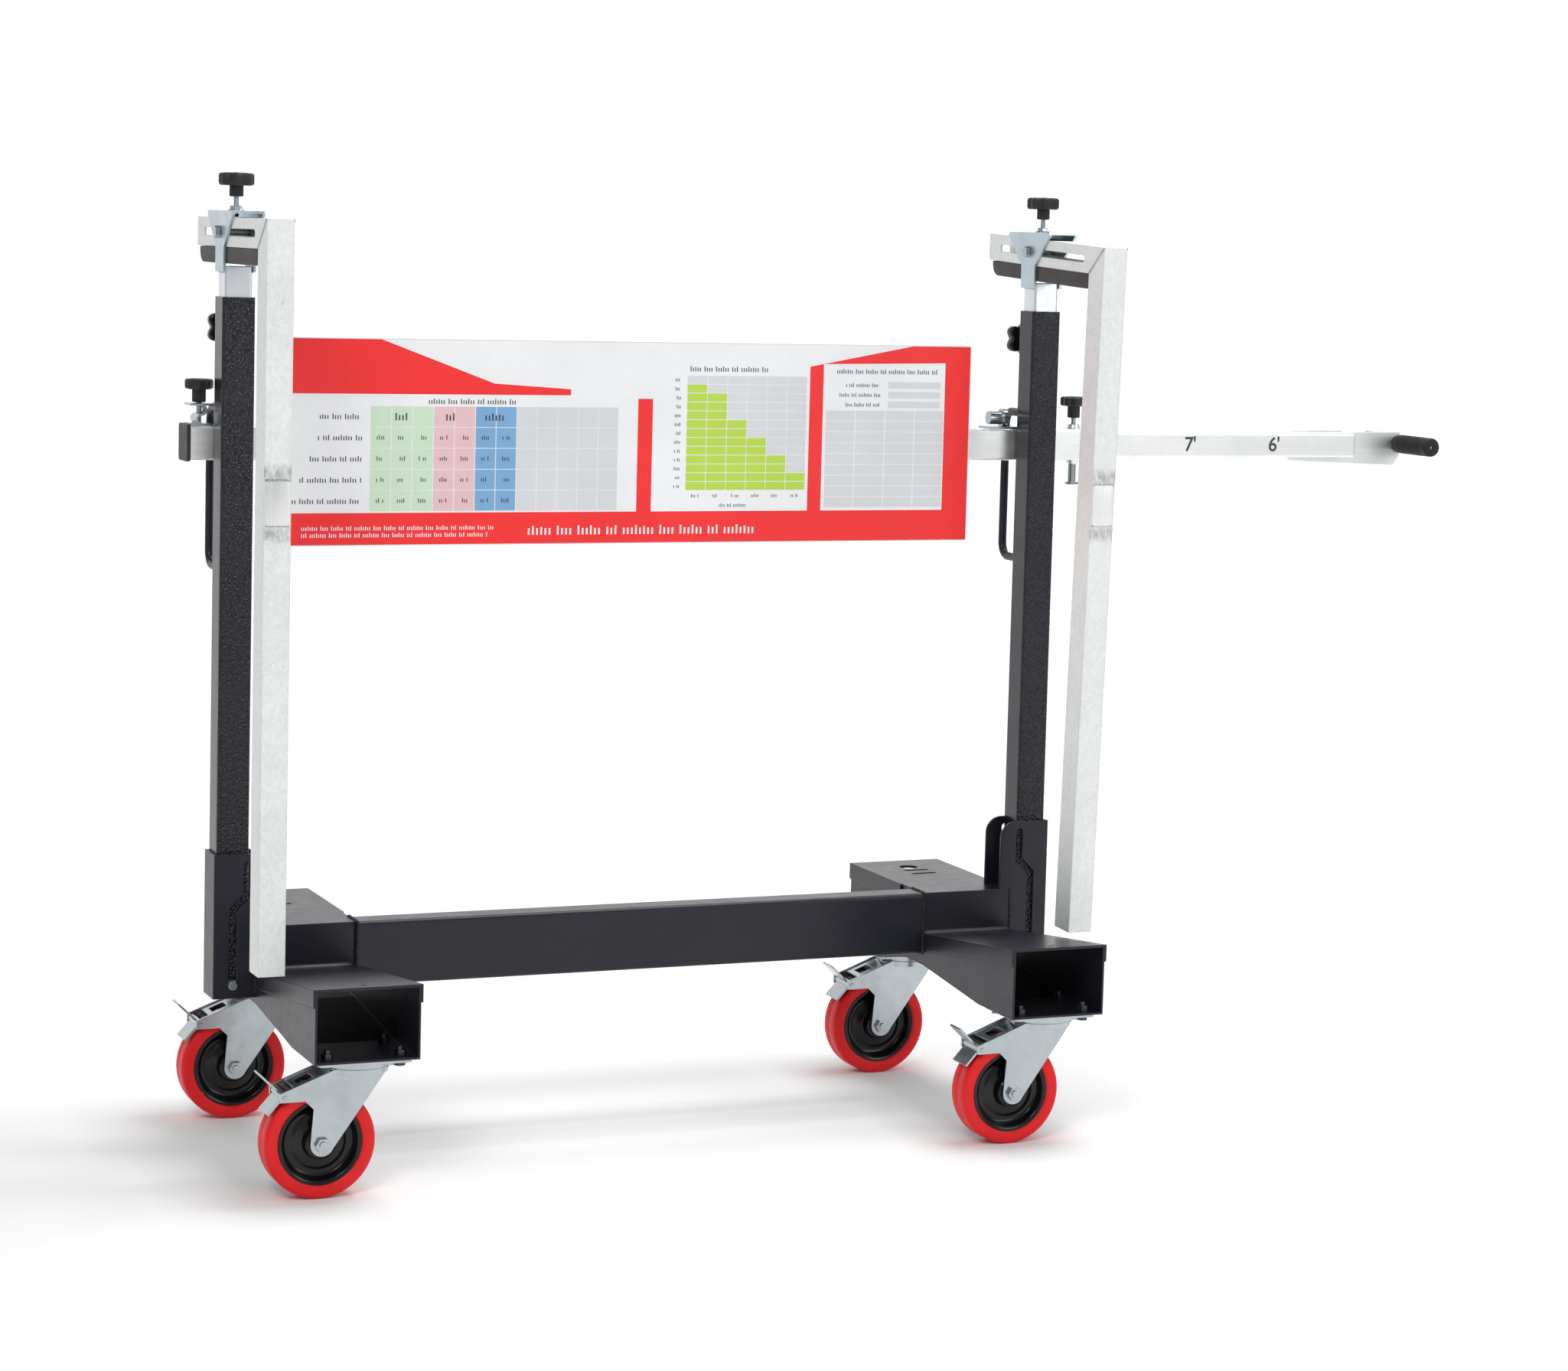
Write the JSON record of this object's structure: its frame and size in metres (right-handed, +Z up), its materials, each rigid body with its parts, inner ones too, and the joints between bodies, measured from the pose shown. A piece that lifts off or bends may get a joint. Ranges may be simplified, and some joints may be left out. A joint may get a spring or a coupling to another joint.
{
  "type": "drywall board cart",
  "caption": "Rolling sheet-board cart: low base on swivel castors, posts with sliding masts, slotted clamp arms with hanging legs, sign board and pull handle.",
  "frame": {"origin": "middle of the overall box, at floor level", "axes": "+X along the cart towards the pull handle, +Y from the clamp legs back past the posts, +Z up"},
  "size_m": [2.0876, 0.615, 1.432],
  "materials": {
    "black_paint": "satin textured black paint",
    "hammer_black": "semi-gloss hammered black paint",
    "bright_zinc": "bright zinc plate",
    "galvanised": "spangled galvanised sheet",
    "knob_plastic": "fine matt black nylon",
    "pad_rubber": "matt dark grey rubber",
    "grip_rubber": "ribbed black rubber",
    "sign_panel": "printed sheet",
    "wheel_nylon": "glossy black nylon",
    "tyre_polyurethane": "red polyurethane"
  },
  "bodies": {
    "base": {"main_beam": "black_paint", "left_deck_plate": "black_paint", "right_deck_plate": "black_paint", "left_foot_channel": "black_paint", "right_foot_channel": "black_paint", "left_post_bracket": "hammer_black", "right_post_bracket": "hammer_black", "castor_plates": "bright_zinc", "castor_bolts": "bright_zinc"},
    "front_left_castor": {"front_left_fork": "bright_zinc", "front_left_axle": "bright_zinc"},
    "front_left_wheel": {"front_left_wheel_center": "wheel_nylon", "front_left_tyre": "tyre_polyurethane"},
    "front_left_brake": {"front_left_pedal": "bright_zinc"},
    "front_right_castor": {"front_right_fork": "bright_zinc", "front_right_axle": "bright_zinc"},
    "front_right_wheel": {"front_right_wheel_center": "wheel_nylon", "front_right_tyre": "tyre_polyurethane"},
    "front_right_brake": {"front_right_pedal": "bright_zinc"},
    "rear_left_castor": {"rear_left_fork": "bright_zinc", "rear_left_axle": "bright_zinc"},
    "rear_left_wheel": {"rear_left_wheel_center": "wheel_nylon", "rear_left_tyre": "tyre_polyurethane"},
    "rear_left_brake": {"rear_left_pedal": "bright_zinc"},
    "rear_right_castor": {"rear_right_fork": "bright_zinc", "rear_right_axle": "bright_zinc"},
    "rear_right_wheel": {"rear_right_wheel_center": "wheel_nylon", "rear_right_tyre": "tyre_polyurethane"},
    "rear_right_brake": {"rear_right_pedal": "bright_zinc"},
    "left_upright": {"left_post": "hammer_black", "left_pivot_bolt": "bright_zinc", "left_grab_handle": "hammer_black", "cross_tube": "bright_zinc", "tube_end_cap": "knob_plastic", "sign_board": "sign_panel", "left_tube_clamp": "bright_zinc", "right_tube_latch": "bright_zinc"},
    "left_extension": {"left_mast": "bright_zinc", "left_clamp_head": "bright_zinc"},
    "left_pin": {"left_arm_pin": "bright_zinc"},
    "left_clamp": {"left_clamp_arm": "galvanised", "left_pad": "pad_rubber"},
    "left_clamp_screw": {"left_clamp_knob": "knob_plastic"},
    "left_mast_screw": {"left_mast_knob": "knob_plastic"},
    "right_upright": {"right_post": "hammer_black", "right_pivot_bolt": "bright_zinc", "right_grab_handle": "hammer_black"},
    "right_extension": {"right_mast": "bright_zinc", "right_clamp_head": "bright_zinc"},
    "right_pin": {"right_arm_pin": "bright_zinc"},
    "right_clamp": {"right_clamp_arm": "galvanised", "right_pad": "pad_rubber"},
    "right_clamp_screw": {"right_clamp_knob": "knob_plastic"},
    "right_mast_screw": {"right_mast_knob": "knob_plastic"},
    "tube_screw": {"left_tube_knob": "knob_plastic"},
    "lock_screw": {"handle_lock_knob": "knob_plastic"},
    "lock_plunger": {"handle_lock_pin": "bright_zinc"},
    "pull_handle": {"handle_tube": "bright_zinc", "handle_bracket": "bright_zinc", "handle_grips": "grip_rubber"}
  },
  "joints": [
    {"name": "front_left_swivel", "type": "hinge", "parent": "base", "child": "front_left_castor", "pos_m": [-0.87075, -0.2455, 0.19], "axis": [0, 0, 1], "continuous": true},
    {"name": "front_left_roll", "type": "hinge", "parent": "front_left_castor", "child": "front_left_wheel", "pos_m": [-0.92575, -0.2455, 0.08], "axis": [0, 1, 0], "continuous": true},
    {"name": "front_left_pedal_press", "type": "hinge", "parent": "front_left_castor", "child": "front_left_brake", "pos_m": [-0.97975, -0.2455, 0.15], "axis": [0, 1, 0], "range_deg": [-8, 12]},
    {"name": "front_right_swivel", "type": "hinge", "parent": "base", "child": "front_right_castor", "pos_m": [0.20325, -0.2455, 0.19], "axis": [0, 0, 1], "continuous": true},
    {"name": "front_right_roll", "type": "hinge", "parent": "front_right_castor", "child": "front_right_wheel", "pos_m": [0.14825, -0.2455, 0.08], "axis": [0, 1, 0], "continuous": true},
    {"name": "front_right_pedal_press", "type": "hinge", "parent": "front_right_castor", "child": "front_right_brake", "pos_m": [0.09425, -0.2455, 0.15], "axis": [0, 1, 0], "range_deg": [-8, 12]},
    {"name": "rear_left_swivel", "type": "hinge", "parent": "base", "child": "rear_left_castor", "pos_m": [-0.87075, 0.2475, 0.19], "axis": [0, 0, 1], "continuous": true},
    {"name": "rear_left_roll", "type": "hinge", "parent": "rear_left_castor", "child": "rear_left_wheel", "pos_m": [-0.92575, 0.2475, 0.08], "axis": [0, 1, 0], "continuous": true},
    {"name": "rear_left_pedal_press", "type": "hinge", "parent": "rear_left_castor", "child": "rear_left_brake", "pos_m": [-0.97975, 0.2475, 0.15], "axis": [0, 1, 0], "range_deg": [-8, 12]},
    {"name": "rear_right_swivel", "type": "hinge", "parent": "base", "child": "rear_right_castor", "pos_m": [0.20325, 0.2475, 0.19], "axis": [0, 0, 1], "continuous": true},
    {"name": "rear_right_roll", "type": "hinge", "parent": "rear_right_castor", "child": "rear_right_wheel", "pos_m": [0.14825, 0.2475, 0.08], "axis": [0, 1, 0], "continuous": true},
    {"name": "rear_right_pedal_press", "type": "hinge", "parent": "rear_right_castor", "child": "rear_right_brake", "pos_m": [0.09425, 0.2475, 0.15], "axis": [0, 1, 0], "range_deg": [-8, 12]},
    {"name": "left_post_lift", "type": "slide", "parent": "base", "child": "left_upright", "axis": [0, 0, 1], "range_m": [0, 0.1]},
    {"name": "left_mast_slide", "type": "slide", "parent": "left_upright", "child": "left_extension", "axis": [0, 0, 1], "range_m": [-0.02, 0.25]},
    {"name": "left_arm_tilt", "type": "hinge", "parent": "left_extension", "child": "left_pin", "pos_m": [-0.98125, 0.0515, 1.346], "axis": [1, 0, 0], "range_deg": [-2, 2]},
    {"name": "left_arm_slide", "type": "slide", "parent": "left_pin", "child": "left_clamp", "axis": [0, 1, 0], "range_m": [-0.1, 0.09]},
    {"name": "left_clamp_knob_turn", "type": "hinge", "parent": "left_extension", "child": "left_clamp_screw", "pos_m": [-0.98125, 0.0515, 1.4], "axis": [0, 0, 1], "continuous": true},
    {"name": "left_mast_knob_turn", "type": "hinge", "parent": "left_upright", "child": "left_mast_screw", "pos_m": [-0.98125, 0.1025, 1.207], "axis": [0, 1, 0], "continuous": true},
    {"name": "right_post_lift", "type": "slide", "parent": "base", "child": "right_upright", "axis": [0, 0, 1], "range_m": [0, 0.1]},
    {"name": "right_mast_slide", "type": "slide", "parent": "right_upright", "child": "right_extension", "axis": [0, 0, 1], "range_m": [-0.02, 0.25]},
    {"name": "right_arm_tilt", "type": "hinge", "parent": "right_extension", "child": "right_pin", "pos_m": [0.31375, 0.0515, 1.346], "axis": [1, 0, 0], "range_deg": [-2.4, 0]},
    {"name": "right_arm_slide", "type": "slide", "parent": "right_pin", "child": "right_clamp", "axis": [0, 0.9991, 0.0419], "range_m": [-0.1, 0.09]},
    {"name": "right_clamp_knob_turn", "type": "hinge", "parent": "right_extension", "child": "right_clamp_screw", "pos_m": [0.31375, 0.0515, 1.4], "axis": [0, 0, 1], "continuous": true},
    {"name": "right_mast_knob_turn", "type": "hinge", "parent": "right_upright", "child": "right_mast_screw", "pos_m": [0.31375, 0.1025, 1.207], "axis": [0, 1, 0], "continuous": true},
    {"name": "tube_knob_turn", "type": "hinge", "parent": "left_upright", "child": "tube_screw", "pos_m": [-1.02075, 0.1015, 1.1], "axis": [0, 0, 1], "continuous": true},
    {"name": "lock_knob_turn", "type": "hinge", "parent": "left_upright", "child": "lock_screw", "pos_m": [0.40425, 0.1015, 1.08], "axis": [0, 0, 1], "continuous": true},
    {"name": "lock_plunger_pull", "type": "slide", "parent": "left_upright", "child": "lock_plunger", "axis": [0, 0, -1], "range_m": [0, 0.008], "stiffness_N_per_m": 600, "springref_m": -0.006},
    {"name": "handle_slide", "type": "slide", "parent": "left_upright", "child": "pull_handle", "axis": [1, 0, 0], "range_m": [-0.36, 0.15]}
  ],
  "couplings": [
    {"joint": "right_post_lift", "follows": "left_post_lift", "ratio": 1}
  ]
}
